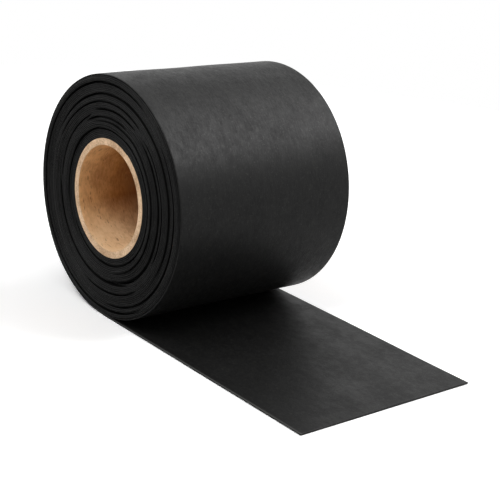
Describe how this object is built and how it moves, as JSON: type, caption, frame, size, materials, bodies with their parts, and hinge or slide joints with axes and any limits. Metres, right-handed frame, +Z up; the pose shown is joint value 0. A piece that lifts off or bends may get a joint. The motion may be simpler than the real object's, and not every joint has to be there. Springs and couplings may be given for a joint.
{
  "type": "roll of rubber membrane",
  "caption": "Strip of rubber membrane wound into a roll on a cardboard core, lying on its side with its free end drawn out flat.",
  "frame": {"origin": "middle of the core's bore, on the roll's axis", "axes": "+Y along the roll's axis, +X towards the cut end of the tail, +Z up from the floor it lies on"},
  "size_m": [0.3095, 0.1536, 0.177],
  "materials": {
    "rubber": "matte black-grey sheet rubber with a soft sheen",
    "cardboard": "plain brown wound board, lighter on its cut ends"
  },
  "bodies": {
    "root": {"membrane": "rubber", "core": "cardboard"}
  },
  "joints": []
}
